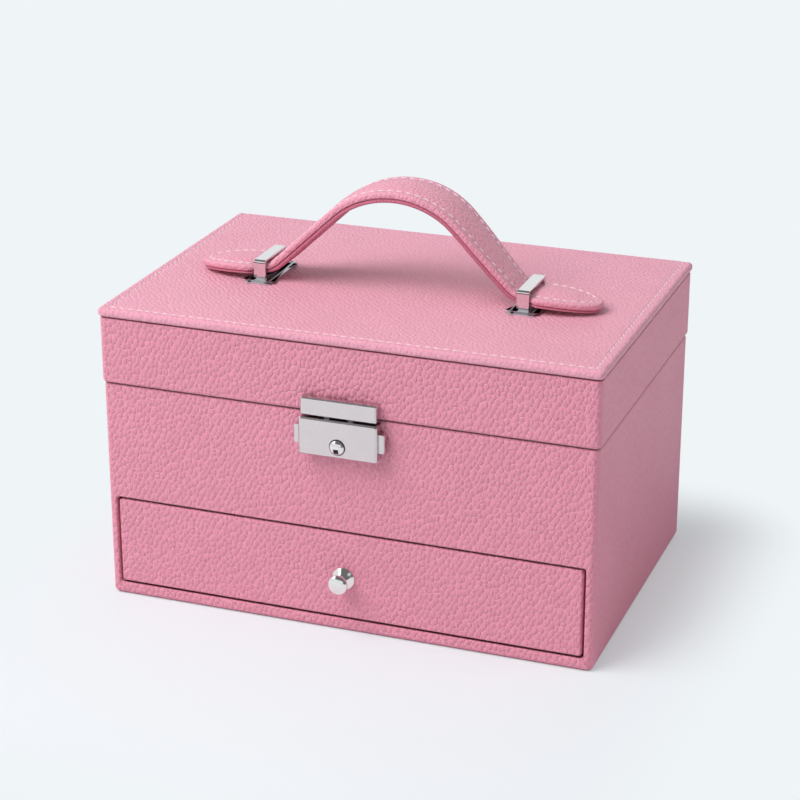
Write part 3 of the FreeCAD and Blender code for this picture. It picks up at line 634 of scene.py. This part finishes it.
# %% Padded top
top_pad = add_block("top_pad", (-121.2, -81.45, PANEL_LOW), (121.2, 81.45, PANEL_TOP))
round_edges(top_pad, 2.6, 5, lambda m, d: abs(d.z) > 0.9)
round_edges(top_pad, 1.8, 6, lambda m, d: near(m.z, PANEL_TOP))
round_edges(top_pad, 1.4, 4, lambda m, d: near(m.z, PANEL_LOW))
ROW_X, ROW_Y, ROW_Z, ROW_END = 116.7, -76.95, 145.02, 79.6
PANEL_PITCH, STRAP_PITCH = 4.4, 4.2
GROOVE = (-1.3, -0.5, 0.0, 0.5, 1.3)
for line in (-ROW_X, ROW_X):
    for side in GROOVE:
        slice_all(top_pad, (line + side, 0, 0), (1, 0, 0))
for side in GROOVE:
    slice_all(top_pad, (0, ROW_Y + side, 0), (0, 1, 0))
for place in range(-112, 113, 8):
    slice_all(top_pad, (place, 0, 0), (1, 0, 0))
for place in range(-72, 81, 8):
    slice_all(top_pad, (0, place, 0), (0, 1, 0))


def sewn(m, reach):
    side_row = abs(abs(m.x) - ROW_X) < reach and m.y > ROW_Y - reach
    front_row = abs(m.y - ROW_Y) < reach and abs(m.x) < ROW_X + reach
    return m.z > PANEL_TOP - 0.3 and (side_row or front_row)


for reach, depth in ((0.6, -0.22), (0.1, -0.3)):
    choose(top_pad, "VERT", lambda m, n: sewn(m, reach))
    nudge(z=depth)
smooth(top_pad)
dress(top_pad, panel_leather, "lid", ["top_panel"])

# %% [markdown]
# ## One stitch
# Thread comes up through one hole and dives into the next, so a stitch is a short bow with thin
# ends under the surface. A bevelled curve could be the thread, but single stitches catch the light
# one by one. One is shaped from a small sphere, and an Array makes the row.


# %% Stitch rows
def add_stitch(name, length, height):
    clear()
    bpy.ops.mesh.primitive_uv_sphere_add(segments=6, ring_count=6, radius=1,
                                         rotation=(0, math.pi / 2, 0))
    stitch = settle(name)
    take(stitch)
    bpy.ops.transform.resize(value=(length / 2 * MM, 0.42 * MM, height * MM),
                             center_override=(0, 0, 0))
    bpy.ops.object.transform_apply(location=True, rotation=True, scale=True)
    choose(stitch, "VERT", lambda m, n: abs(m.x) > length * 0.4)
    nudge(z=-0.45)
    take(stitch)
    bpy.ops.object.shade_smooth()
    return stitch


def repeat(stitch, count, step):
    modify(stitch, "ARRAY", count=count, use_relative_offset=False, use_constant_offset=True,
           constant_offset_displace=(step * MM, 0, 0))


def straight_row(name, start, end):
    start, end = Vector(start), Vector(end)
    run = (end - start).length
    count = round(run / PANEL_PITCH)
    row = add_stitch(name, run / count * 0.9, 0.4)
    repeat(row, count, run / count)
    turn = math.atan2(end.y - start.y, end.x - start.x)
    row.rotation_euler = (0, 0, turn)
    row.location = (start + (end - start) / count / 2) * MM
    take(row)
    return settle(name)


rows = [straight_row("front_row", (-ROW_X, ROW_Y, ROW_Z), (ROW_X, ROW_Y, ROW_Z))]
for side, x in (("left", -ROW_X), ("right", ROW_X)):
    rows.append(straight_row(side + "_row", (x, ROW_Y, ROW_Z), (x, ROW_END, ROW_Z)))
for row in rows:
    dress(row, pale_thread, "lid")

# %% [markdown]
# ## Strap
# The strap is two leathers sewn round a spring-steel strip. Bending a finished strap is hard to
# model directly, so each layer is made flat, like the maker does: cut to outline, edge rounded, a
# groove pressed for the thread and the middle raised. Slices every two millimetres let a Curve
# modifier bend it along the path it takes in the photo.

# %% Path of the strap
# The soft strap leans a little to the right, as in the photo.
strap_path = [  # x, z, slope in degrees, length of the handle before and of the handle after
    (-98.50, 147.55, 8.55, 3.0, 10.07), (-68.41, 149.80, 0.0, 10.07, 4.6),
    (-56.20, 154.57, 43.0, 4.6, 13.4), (-26.40, 182.40, 42.5, 13.4, 10.7),
    (2.60, 193.40, 0.0, 10.7, 10.4), (30.60, 182.40, -44.5, 10.4, 12.8),
    (56.60, 154.57, -44.5, 12.8, 4.52), (68.41, 149.80, 0.0, 4.52, 10.07),
    (98.50, 147.55, -8.55, 10.07, 3.0)]
clear()
bpy.ops.curve.primitive_bezier_curve_add()
strap_line = bpy.context.object
strap_line.location = (0, 0, 0)
strap_line.data.twist_mode, strap_line.data.resolution_u = "Z_UP", 32
spline = strap_line.data.splines[0]
spline.bezier_points.add(len(strap_path) - len(spline.bezier_points))
for point, (x, z, slope, before, after) in zip(spline.bezier_points, strap_path):
    along = Vector((math.cos(math.radians(slope)), 0, math.sin(math.radians(slope))))
    here = Vector((x, STRAP_Y, z))
    point.handle_left_type = point.handle_right_type = "FREE"
    point.co = here * MM
    point.handle_left = (here - along * before) * MM
    point.handle_right = (here + along * after) * MM
HALF_RUN = spline.calc_length() / MM / 2
print("strap path", round(2 * HALF_RUN, 2), "mm")


# %% Flat layers
CROWN_W, FLANK_W, NECK_W, TAB_W = 29.6, 27, 22.4, 27.4
STATIONS = (16.0, 46.6, 72.0, 83.5, 87.0)  # crown, flank, neck from and to, tab
TIP_START, TIP_ROUND, TIP_LENGTH = 89, 13, 26.4


def flat_strap(name, low, slim=0.0):
    """Outline from a plane: wide crown, necks for the keepers, rounded tabs."""
    clear()
    bpy.ops.mesh.primitive_plane_add(size=MM, location=(0, 0, low * MM))
    bpy.ops.transform.resize(value=(2 * (TIP_START + TIP_ROUND - slim), FLANK_W - 2 * slim, 1))
    layer = settle(name)
    for place in STATIONS:
        for sign in (-1, 1):
            slice_all(layer, (sign * place, 0, 0), (1, 0, 0))
    for start, end, width in ((-1, 20, CROWN_W), (70, 85, NECK_W), (85, 200, TAB_W)):
        choose(layer, "VERT", lambda m, n: start < abs(m.x) < end)
        bpy.ops.transform.resize(value=(1, width / FLANK_W, 1), center_override=(0, 0, 0))
    choose(layer, "EDGE", lambda m, d: abs(d.y) > 0.9 and abs(m.x) < 93)
    bpy.ops.mesh.dissolve_edges(use_verts=False)
    choose(layer, "VERT", lambda m, n: abs(m.x) > 93)
    bevel(TIP_ROUND - slim, 12, "VERTICES")
    choose(layer, "VERT", lambda m, n: 40 < abs(m.x) < 88)
    bevel(1.5, 3, "VERTICES")
    for sign in (-1, 1):
        choose(layer, "VERT", lambda m, n: sign * m.x > TIP_START - 0.4)
        bpy.ops.transform.resize(value=(TIP_LENGTH / TIP_ROUND, 1, 1),
                                 center_override=(sign * TIP_START * MM, 0, 0))
    return layer


def thicken(layer, height):
    choose(layer, "FACE", lambda m, n: True)
    extrude(z=height)
    outward(layer)


def slice_across(piece):
    for place in range(-114, 115, 2):
        slice_all(piece, (place, 0, 0), (1, 0, 0))


def press_neck(piece):
    """The keeper's bar presses the padding down where it crosses the strap."""
    for start, end in ((71, 87), (73, 85), (75, 83)):
        choose(piece, "VERT", lambda m, n: start < abs(m.x) < end and m.z > 1.5)
        nudge(z=-0.2)


def bend(piece):
    take(piece)
    nudge(x=HALF_RUN)
    bpy.ops.object.transform_apply(location=True, rotation=True, scale=True)
    modify(piece, "CURVE", object=strap_line, deform_axis="POS_X")


# %% Upper leather with its thread groove
strap_top = flat_strap("strap_top", 0.1)
thicken(strap_top, 3.0)
round_edges(strap_top, 1.3, 5, lambda m, d: near(m.z, 3.1))
round_edges(strap_top, 0.8, 3, lambda m, d: near(m.z, 0.1))
choose(strap_top, "FACE", lambda m, n: n.z > 0.99 and m.z > 3)
for width, rise in ((1.8, 0.0), (0.5, -0.35)):
    inset(width, rise)

# %% The thread follows the groove
# The rim of the pressed face is the sewing line: a copy of it becomes the curve that the stitches
# follow.
bpy.ops.mesh.select_mode(type="EDGE")
bpy.ops.mesh.region_to_loop()
bpy.ops.mesh.duplicate()
bpy.ops.mesh.separate(type="SELECTED")
bpy.ops.object.mode_set(mode="OBJECT")
sewing_line = next(o for o in bpy.context.selected_objects if o is not strap_top)
take(sewing_line)
bpy.ops.object.convert(target="CURVE")
sewing_line = bpy.context.object
row_length = sewing_line.data.splines[0].calc_length() / MM
count = round(row_length / STRAP_PITCH)
strap_thread = add_stitch("strap_thread", row_length / count * 0.9, 0.42)
repeat(strap_thread, count, row_length / count)
sewing_line.data.dimensions, sewing_line.data.twist_mode = "3D", "Z_UP"
modify(strap_thread, "CURVE", object=sewing_line, deform_axis="POS_X")
bpy.data.objects.remove(sewing_line)
print("strap thread:", count, "stitches on", round(row_length, 1), "mm")

# %% Raise the padded middle
choose(strap_top, "FACE", lambda m, n: n.z > 0.99 and near(m.z, 2.75))
inset(0.5, 0.35)
for place in (-6.5, -4.5, -2.0, 0.0, 2.0, 4.5, 6.5):
    slice_all(strap_top, (0, place, 0), (0, 1, 0))
slice_across(strap_top)
for half_width, end, rise in ((6.7, 104.5, 0.35), (4.7, 102.5, 0.25), (2.2, 100.5, 0.1)):
    choose(strap_top, "VERT", lambda m, n: m.z > 3.05 and abs(m.y) < half_width and abs(m.x) < end)
    nudge(z=rise)
press_neck(strap_top)
bend(strap_top)
take(strap_thread)
nudge(z=0.3)
bpy.ops.object.transform_apply(location=True, rotation=True, scale=True)
press_neck(strap_thread)
bend(strap_thread)

# %% Under leather and steel strip
strap_under = flat_strap("strap_under", -2.0, 0.3)
thicken(strap_under, 1.95)
round_edges(strap_under, 0.7, 3, lambda m, d: near(m.z, -2.0) or near(m.z, -0.05))
slice_across(strap_under)
for start in (74, 77, 80):
    choose(strap_under, "VERT", lambda m, n: abs(m.x) > start and m.z < -1.2)
    nudge(z=0.3)
bend(strap_under)
strap_core = flat_strap("strap_core", 0.15, 7.0)
thicken(strap_core, 0.5)
round_edges(strap_core, 0.12, 2, lambda m, d: abs(d.z) < 0.1)
slice_across(strap_core)
bend(strap_core)
bpy.data.objects.remove(strap_line)

# %% Finish the strap's layers
# Each layer is smoothed and gets its finish, and the solid it stands for is hidden. On the real
# case the tabs stay with the lid and the crown follows the hand; here each layer is one fixed
# piece.
for layer, finish, slot, node in ((strap_top, strap_leather, "strap_leather", ["handle_strap"]),
                                  (strap_under, strap_lining_painted_shade, "strap_leather", ["handle_lining"]),
                                  (strap_core, inner_steel, "inner_steel", ["handle_core"]),
                                  (strap_thread, pale_thread, "strap_leather", [])):
    smooth(layer, 50, weighted=False)
    dress(layer, finish, None, node)
    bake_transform(layer)

# %% [markdown]
# ## Turned metal: knob, key face and screws
# A lathe makes these, and a Spin could too. Drawing the profile step by step is clearer: a thin
# disc is added, its outer face is pulled out again and again, and each new ring is scaled to the
# next radius. The knob has a flared foot, a thin neck and a domed head.


# %% A lathe made of extrusions
def lathe(name, x, z, profile, sides=48):
    """profile: pairs of radius and y in mm, from the wall outwards."""
    clear()
    (radius, y), steps = profile[0], profile[1:]
    bpy.ops.mesh.primitive_circle_add(vertices=sides, radius=radius * MM, fill_type="NGON",
                                      location=(x * MM, y * MM, z * MM),
                                      rotation=(math.pi / 2, 0, 0))
    piece = settle(name)
    choose(piece, "FACE", lambda m, n: True)
    for next_radius, next_y in steps:
        extrude(y=next_y - y)
        size = next_radius / radius
        bpy.ops.transform.resize(value=(size, 1, size),
                                 center_override=(x * MM, next_y * MM, z * MM))
        radius, y = next_radius, next_y
    outward(piece)
    smooth(piece, 38)
    return piece


KNOB_Z = 27
knob_profile = [  # radius, distance from the drawer's face
    (5.6, 0), (5.6, 0.35), (5.35, 0.75), (4.3, 1.35), (3.2, 2.3), (2.45, 3.5), (2.1, 4.7),
    (2.3, 5.8), (3.2, 6.6), (4.4, 7.2), (4.8, 7.4), (4.85, 7.65), (4.75, 7.95), (4.4, 8.45),
    (3.75, 8.95), (2.85, 9.35), (1.8, 9.64), (0.9, 9.77), (0.2, 9.8)]
knob = lathe("turned_knob", 0, KNOB_Z, [(radius, FRONT_Y - out) for radius, out in knob_profile])
dress(knob, bright_chrome, "drawer", ["knob"])

# %% Key face
# A dark ring of painted shade stands in the gap round the cylinder. Its face is a small dome with a
# square keyhole low down, backed by a dark plug of painted shade.
LOCK_Y, KEY_Z = -86.55, 95.1
ring_profile = [(3.95, -0.2), (3.95, 0.04), (3.7, 0.06)]
dome_profile = [(3.47, 0.3), (3.47, 0.5), (3.3, 0.8), (2.8, 1.25), (2.0, 1.65), (1.0, 1.9),
                (0.2, 1.95)]
ring = lathe("key_gap_painted_shade", 0, KEY_Z, [(radius, LOCK_Y - out) for radius, out in ring_profile], 40)
dress(ring, painted_gap_shade, "case")
key_dome = lathe("key_dome", 0, KEY_Z, [(radius, LOCK_Y - out) for radius, out in dome_profile], 40)
hole = add_block("hole", (-1.15, LOCK_Y - 3, 92.4), (1.15, LOCK_Y - 0.6, 94.8))
carve(key_dome, hole)
smooth(key_dome, 38)
dress(key_dome, bright_chrome, "key")
plug = add_block("key_hole_painted_shade", (-1.3, LOCK_Y - 0.66, 92.3), (1.3, LOCK_Y - 0.3, 94.9))
round_edges(plug, 0.3, 3, lambda m, d: abs(d.y) > 0.9)
smooth(plug)
dress(plug, painted_gap_shade, "key")

# %% Screws on the hinges
SCREW_X = (-79, -61, 61, 79)
SCREW_ROWS = ((98, 81.15, "case"), (119, 81.75, "lid"))  # z, face of the leaf, body
screw_profile = [(1.7, -0.1), (1.7, 0.15), (1.5, 0.4), (1.0, 0.58), (0.3, 0.65)]
screws = 0
for x in SCREW_X:
    for z, wall, body in SCREW_ROWS:
        head = lathe("hinge_screw_%d" % screws, x, z,
                     [(radius, wall + out) for radius, out in screw_profile], 20)
        slot = add_block("slot", (x - 2, wall + 0.3, z - 0.22), (x + 2, wall + 1, z + 0.22))
        carve(head, slot)
        smooth(head, 30)
        dress(head, hinge_steel, body)
        screws += 1

# %% [markdown]
# ## Tab springs
# Inside the lock a strip of spring steel, folded to and fro, pushes each tab out. A coil would look
# the part too, but a folded strip is what fits a flat lock. A strip is sliced at every fold, every
# other fold is lifted, and the bends are rounded. In the real lock the folds close up when the tab
# is pressed; here each strip is one fixed piece.

# %% Tab springs
FOLDS, STRIP_T = 4, 0.3
for side, sign in (("left", -1), ("right", 1)):
    low, high = solid_box(side + "_tab_spring")
    strip = add_block(side + "_folded_strip", low, (high.x, high.y, low.z + STRIP_T))
    step = (high.x - low.x) / FOLDS
    for fold in range(1, FOLDS):
        slice_all(strip, (low.x + fold * step, 0, 0), (1, 0, 0))
    choose(strip, "VERT", lambda m, n: round((m.x - low.x) / step) % 2 == 1)
    nudge(z=high.z - low.z - STRIP_T)
    round_edges(strip, 0.12, 2, lambda m, d: abs(d.y) > 0.9 and low.x + 0.2 < m.x < high.x - 0.2)
    smooth(strip)
    dress(strip, inner_steel, None, [side + "_tab_spring"])
    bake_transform(strip)

# %% [markdown]
# ## Keepers and their plates
# Each keeper is a flat bar bent into a low arch over the strap. A bevelled curve could be that bar,
# but a block gives flat faces and crisp edges. The block for the top is sliced near its ends, and
# the two end faces underneath are pulled down as legs. A round on the bends and a fine bevel along
# the edges catch the light. The plate is a block with sloping sides and a sunken middle.

# %% Keepers
BAR_LOW, BAR_TOP, BAR_HALF, LEG = 154.5, 156.0, 3, 17.3
BAR_FRONT, BAR_BACK, LEG_FRONT, LEG_BACK = -20.2, 6.2, -18.6, 4.6
PLATE_TOP = 146.8
for side, x in (("left", -KEEPER_X), ("right", KEEPER_X)):
    arch = add_block(side + "_arch", (x - BAR_HALF, BAR_FRONT, BAR_LOW),
                     (x + BAR_HALF, BAR_BACK, BAR_TOP))
    for y in (LEG_FRONT, LEG_BACK):
        slice_all(arch, (0, y, 0), (0, 1, 0))
    choose(arch, "FACE", lambda m, n: n.z < -0.9 and (m.y < LEG_FRONT or m.y > LEG_BACK))
    extrude(z=-LEG)
    round_edges(arch, 1.1, 5, lambda m, d: abs(d.x) > 0.9 and near(m.z, BAR_TOP)
                and abs(m.y - STRAP_Y) > 13)
    round_edges(arch, 0.32, 3, lambda m, d: abs(d.x) < 0.1
                and near(abs(m.x - x), BAR_HALF) and m.z > 138
                and not near(m.z, BAR_LOW, 0.3)
                and not (near(m.y, LEG_FRONT) and abs(d.z) < 0.1))
    smooth(arch, 40)
    dress(arch, bright_chrome, "lid", [side + "_keeper"])

    plate = add_block(side + "_foot_plate", (x - 6.4, -24, PANEL_TOP), (x + 6.4, 10, PLATE_TOP))
    round_edges(plate, 0.8, 3, lambda m, d: abs(d.z) > 0.9)
    round_edges(plate, 0.9, 1, lambda m, d: near(m.z, PLATE_TOP))
    choose(plate, "FACE", lambda m, n: n.z > 0.99 and m.z > 146)
    inset(0.5)
    inset(0.3, -0.25)
    round_edges(plate, 0.12, 2, lambda m, d: near(m.z, PLATE_TOP) or near(m.z, 145.9))
    smooth(plate, 30)
    dress(plate, plate_chrome, "lid", [side + "_keeper_plate"])

# %% [markdown]
# ## Linings, mirror and base
# Cloth is glued inside the well, the lid and the drawer. It has no slack, so there is nothing for a
# cloth simulation to drape. Each lining is a tray: a block with one face taken away, rounded folds
# in the corners and a Solidify for the cloth. The mirror gets a ground edge, and the base is closed
# by a thin sheet.


# %% Linings
def tray(name, node, open_up, body, fold):
    low, high = solid_box(node)
    piece = add_block(name, low, high)
    remove_faces(piece, lambda m, n: (n.z if open_up else -n.z) > 0.9)
    floor_z = low.z if open_up else high.z
    round_edges(piece, fold, 4, lambda m, d: abs(d.z) > 0.9 or near(m.z, floor_z))
    modify(piece, "SOLIDIFY", thickness=0.55 * MM, offset=-1.0)
    smooth(piece)
    dress(piece, lining_cloth, body, [node])


tray("well_cloth", "well_lining", True, "case", 1.6)
tray("lid_cloth", "lid_lining", False, "lid", 1.6)
tray("drawer_cloth", "drawer_lining", True, "drawer", 1.2)

# %% Mirror and base sheet
low, high = solid_box("mirror_glass")
glass = add_block("lid_mirror", low, high)
round_edges(glass, 2.0, 4, lambda m, d: abs(d.z) > 0.9)
round_edges(glass, 1.2, 1, lambda m, d: near(m.z, low.z))
smooth(glass, 20)
dress(glass, mirror_finish, "lid", ["mirror_glass"])

low, high = solid_box("base_cover")
sheet = add_block("base_sheet", low, high)
round_edges(sheet, 2.4, 4, lambda m, d: abs(d.z) > 0.9)
round_edges(sheet, 0.35, 3, lambda m, d: near(m.z, low.z))
smooth(sheet)
dress(sheet, base_sheet, "case", ["base_cover"])

# %% [markdown]
# ## Light, floor and background
# The photograph is a studio shot: a wide soft light from the upper left, a pale floor and an even
# pale background. A curved paper sweep would do it too, but its tone would depend on the lamps. So
# the floor and the world show the camera the background itself, and only near the case, or its open
# drawer, does the floor keep its own shading and the shadow.

# %% Floor
BACKDROP = screen(239, 244, 247)
clear()
bpy.ops.mesh.primitive_plane_add(size=12, location=(0, 0, -0.0002))
floor = settle("floor")
floor_paint, tree, shader, place = new_finish("floor_paint")
shader.inputs["Base Color"].default_value = screen(230, 235, 238)
shader.inputs["Roughness"].default_value = 0.9
shader.inputs["Specular IOR Level"].default_value = 0.1
CASE_ROOM = (("X", 0.0, 0.12), ("Y", -0.06, 0.14))  # middle and half size in metres
SHADOW_REACH, NEAR_GLOW = 0.072, 0.33
glow = add(tree, "Emission", {"Color": BACKDROP, "Strength": 1.0})
at = add(tree, "SeparateXYZ", {0: place}).outputs
past = []
for key, middle, half in CASE_ROOM:
    off = calc(tree, "ABSOLUTE", calc(tree, "SUBTRACT", at[key], middle))
    past.append(calc(tree, "MAXIMUM", calc(tree, "SUBTRACT", off, half), 0.0))
away = calc(tree, "SQRT", calc(tree, "ADD", *(calc(tree, "POWER", one, 2.0) for one in past)))
seen = calc(tree, "MULTIPLY", add(tree, "LightPath").outputs["Is Camera Ray"],
            ramp(tree, away, 0.0, SHADOW_REACH, NEAR_GLOW, 1.0))
mix = add(tree, "MixShader", {0: seen, 1: shader.outputs[0], 2: glow.outputs[0]})
tree.links.new(mix.outputs[0], tree.nodes["Material Output"].inputs["Surface"])
floor.data.materials.append(floor_paint)
print("floor ready")

# %% World
# Polished metal mirrors the room: bright from the upper left, dim overhead and on the far right.
world = bpy.data.worlds.new("studio")
bpy.context.scene.world = world
world.use_nodes = True
tree = world.node_tree
soft = tree.nodes["Background"]
soft.inputs["Color"].default_value = (0.96, 0.98, 1.0, 1)
soft.inputs["Strength"].default_value = 0.39
shown = add(tree, "Background", {"Color": BACKDROP, "Strength": 1.0})
dim = add(tree, "Background", {"Color": (0.17, 0.165, 0.17, 1), "Strength": 1.0})
look = add(tree, "SeparateXYZ", {0: add(tree, "TexCoord").outputs["Generated"]}).outputs
right_of_lamp = ramp(tree, look["X"], -0.62, -0.42)
above = calc(tree, "MULTIPLY", ramp(tree, look["Z"], 0.42, 0.52), right_of_lamp)
panel = add(tree, "Background", {"Color": BACKDROP, "Strength": 2.2})
lit = calc(tree, "MULTIPLY", ramp(tree, look["Z"], 0.35, 0.6),
           calc(tree, "SUBTRACT", 1.0, right_of_lamp))
bright = add(tree, "MixShader", {0: lit, 1: shown.outputs[0], 2: panel.outputs[0]})
ceiling = add(tree, "MixShader", {0: above, 1: bright.outputs[0], 2: dim.outputs[0]})
rays = add(tree, "LightPath")
flag = calc(tree, "MULTIPLY", rays.outputs["Is Glossy Ray"], ramp(tree, look["X"], 0.45, 0.7))
ceiling = add(tree, "MixShader", {0: flag, 1: ceiling.outputs[0], 2: dim.outputs[0]})
direct = calc(tree, "MAXIMUM", rays.outputs["Is Camera Ray"], rays.outputs["Is Glossy Ray"])
direct = calc(tree, "MAXIMUM", direct, rays.outputs["Is Transmission Ray"])
mix = add(tree, "MixShader", {0: direct, 1: soft.outputs[0], 2: ceiling.outputs[0]})
tree.links.new(mix.outputs[0], tree.nodes["World Output"].inputs["Surface"])
print("world", len(tree.nodes), "nodes")


# %% Lamps
def softbox(name, place, size, power):
    clear()
    aim = Vector(place) - Vector((0, 0, 0.08))
    bpy.ops.object.light_add(type="AREA", location=place,
                             rotation=aim.to_track_quat("Z", "Y").to_euler())
    lamp = bpy.context.object
    lamp.name = name
    lamp.data.size, lamp.data.energy = size, power
    lamp.visible_glossy = False


softbox("key", (-0.82, -0.82, 1.5), 1.35, 32.0)
softbox("fill", (1.6, 0.2, 0.9), 1.2, 3.4)
print("lamps ready")
